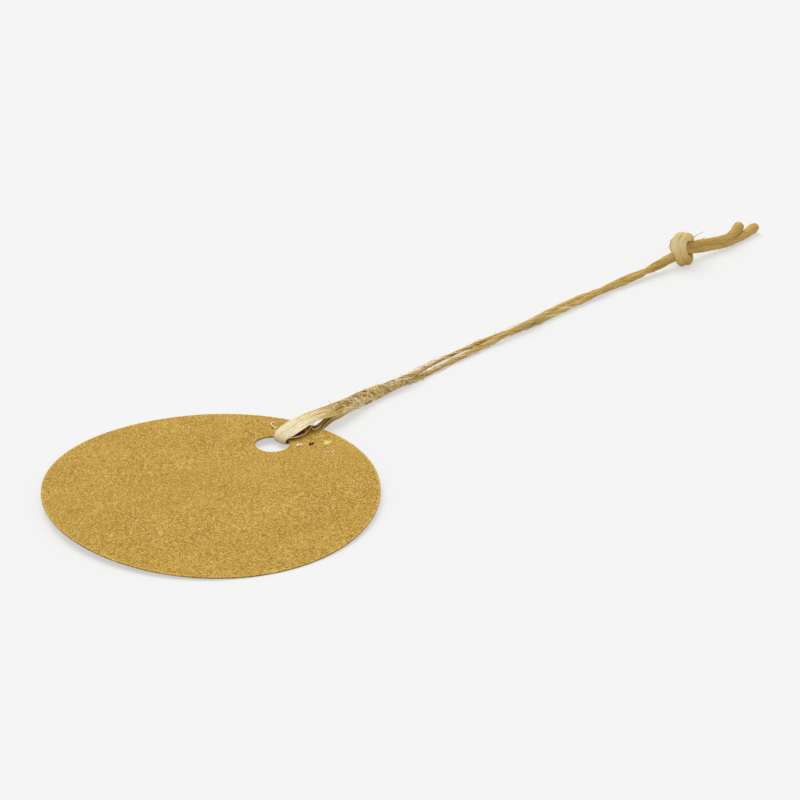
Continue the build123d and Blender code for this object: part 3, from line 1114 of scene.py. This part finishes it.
def fibre_material(name, stops):
    """Raw plant fibre: streaks along the lay, each fibre with its own tone."""
    material, tree, shader = new_material(name)
    lay = new_node(tree, "ShaderNodeAttribute", {"attribute_name": "lay"}).outputs["Vector"]
    tone = new_node(tree, "ShaderNodeAttribute", {"attribute_name": "tone"}).outputs["Fac"]
    grain = new_node(tree, "ShaderNodeAttribute", {"attribute_name": "grain"}).outputs["Fac"]
    broad = noise_node(tree, stretched(tree, lay, BROAD_STRETCH), 1.0, 2.0)
    fine = noise_node(tree, stretched(tree, lay, FINE_STRETCH), 1.0, 2.0, 0.6)
    streaks = layer_sum(tree, [(broad, BROAD_SHARE), (fine, FINE_STREAK_SHARE)])
    streaks = math_node(tree, "MULTIPLY", math_node(tree, "SUBTRACT", streaks, STREAK_MIDDLE), grain)
    value = math_node(tree, "ADD", tone, streaks)
    tree.links.new(ramp_node(tree, value, stops), shader.inputs["Base Color"])
    set_relief(tree, shader, fine, JUTE_BUMP)
    set_roughness(tree, shader, fine, *JUTE_ROUGHNESS)
    return material


def shown_ray(tree):
    """1 for rays that show the background: to the camera, in a reflection or through glass."""
    path = tree.nodes.new("ShaderNodeLightPath")
    shown = math_node(tree, "MAXIMUM", path.outputs["Is Camera Ray"], path.outputs["Is Glossy Ray"])
    return math_node(tree, "MAXIMUM", shown, path.outputs["Is Transmission Ray"])


jute = fibre_material("jute", JUTE_STOPS)
straw_coat = fibre_material("straw", STRAW_STOPS)
kraft = kraft_material("kraft", 0.0)
# The cut walls' coat is darker: partly painted shade
kraft_cut = kraft_material("kraft_cut", CUT_LIFT)
# The rim's line is paler: a painted highlight
kraft_highlight = kraft_material("kraft_highlight", HIGHLIGHT_LIFT)
for piece in (twine_left, twine_right, *twine_fibres, twine_fuzz, card_crumbs):
    piece.data.materials.append(jute)
straw_crumb.data.materials.append(straw_coat)
for coat in (kraft, kraft_cut, kraft_highlight):
    card.data.materials.append(coat)

# The card and what lies on it ride on the card; the imported solids that the drawn pieces stand in for are
# hidden
for piece in (twine_left, twine_right, *twine_fibres, twine_fuzz):
    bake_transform(piece)
for piece, strand, nodes in (
    (twine_left, left_strand, ("twine_bight", "loop_strand_left", "knot_strand_left", "tail_long")),
    (twine_right, right_strand, ("loop_strand_right", "knot_strand_right", "tail_short")),
):
    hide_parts(*nodes)
for piece in (card_crumbs, straw_crumb):
    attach(piece, "card")
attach(card, "card")
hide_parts("tag_card")

# Floor
floor_mesh = bpy.data.meshes.new("floor")
floor_mesh.from_pydata(
    [
        (-FLOOR_HALF, -FLOOR_HALF, FLOOR_HEIGHT),
        (FLOOR_HALF, -FLOOR_HALF, FLOOR_HEIGHT),
        (FLOOR_HALF, FLOOR_HALF, FLOOR_HEIGHT),
        (-FLOOR_HALF, FLOOR_HALF, FLOOR_HEIGHT),
    ],
    [],
    [(0, 1, 2, 3)],
)
floor = link("floor", floor_mesh)
floor_material, floor_tree, floor_shader = new_material("floor_white")
floor_shader.inputs["Base Color"].default_value = (FLOOR_WHITE, FLOOR_WHITE, FLOOR_WHITE, 1.0)
floor_shader.inputs["Specular IOR Level"].default_value = 0.0
floor_shader.inputs["Roughness"].default_value = 1.0
floor_glow = new_node(floor_tree, "ShaderNodeEmission", Color=(FLOOR_WHITE, FLOOR_WHITE, FLOOR_WHITE, 1.0))
floor_seen = floor_tree.nodes.new("ShaderNodeMixShader")
floor_share = math_node(floor_tree, "MULTIPLY", shown_ray(floor_tree), FLOOR_GLOW)
floor_tree.links.new(floor_share, floor_seen.inputs[0])
floor_tree.links.new(floor_shader.outputs[0], floor_seen.inputs[1])
floor_tree.links.new(floor_glow.outputs[0], floor_seen.inputs[2])
floor_tree.links.new(floor_seen.outputs[0], floor_tree.nodes["Material Output"].inputs["Surface"])
floor.data.materials.append(floor_material)

# Light: an even sky, which the camera sees as bright as the floor, and one broad key
world = bpy.data.worlds.new("studio")
world.use_nodes = True
sky_tree = world.node_tree
sky = sky_tree.nodes["Background"]
sky.inputs["Color"].default_value = (1.0, 1.0, 1.0, 1.0)
sky.inputs["Strength"].default_value = WORLD_LEVEL
backdrop = new_node(sky_tree, "ShaderNodeBackground", Color=(1.0, 1.0, 1.0, 1.0), Strength=FLOOR_WHITE)
seen = sky_tree.nodes.new("ShaderNodeMixShader")
sky_tree.links.new(shown_ray(sky_tree), seen.inputs[0])
sky_tree.links.new(sky.outputs[0], seen.inputs[1])
sky_tree.links.new(backdrop.outputs[0], seen.inputs[2])
sky_tree.links.new(seen.outputs[0], sky_tree.nodes["World Output"].inputs["Surface"])
scene.world = world

key_data = bpy.data.lights.new("key", "SUN")
key_data.angle = math.radians(KEY_SOFTNESS)
key_data.energy = (1.0 - WORLD_LEVEL) * math.pi / math.sin(math.radians(KEY_ELEVATION))
key = bpy.data.objects.new("key", key_data)
scene.collection.objects.link(key)
to_key = heading(KEY_BEARING - CAMERA_AZIMUTH) * math.cos(math.radians(KEY_ELEVATION))
to_key = to_key + Vector((0.0, 0.0, math.sin(math.radians(KEY_ELEVATION))))
key.rotation_mode = "QUATERNION"
key.rotation_quaternion = to_key.to_track_quat("Z", "Y")

# Camera
camera_data = bpy.data.cameras.new("camera")
camera_data.lens = CAMERA_LENS
camera_data.sensor_width = SENSOR_WIDTH
camera_data.clip_start = CLIP_NEAR
camera_data.clip_end = CLIP_FAR
camera = bpy.data.objects.new("camera", camera_data)
scene.collection.objects.link(camera)
aim = (
    Matrix.Rotation(math.radians(CAMERA_AZIMUTH), 4, "Z")
    @ Matrix.Rotation(math.radians(90.0 - CAMERA_ELEVATION), 4, "X")
    @ Matrix.Rotation(math.radians(CAMERA_ROLL), 4, "Z")
)
camera.matrix_world = Matrix.Translation(Vector(CAMERA_PLACE) * MM) @ aim
scene.camera = camera
scene.view_settings.view_transform = "Standard"
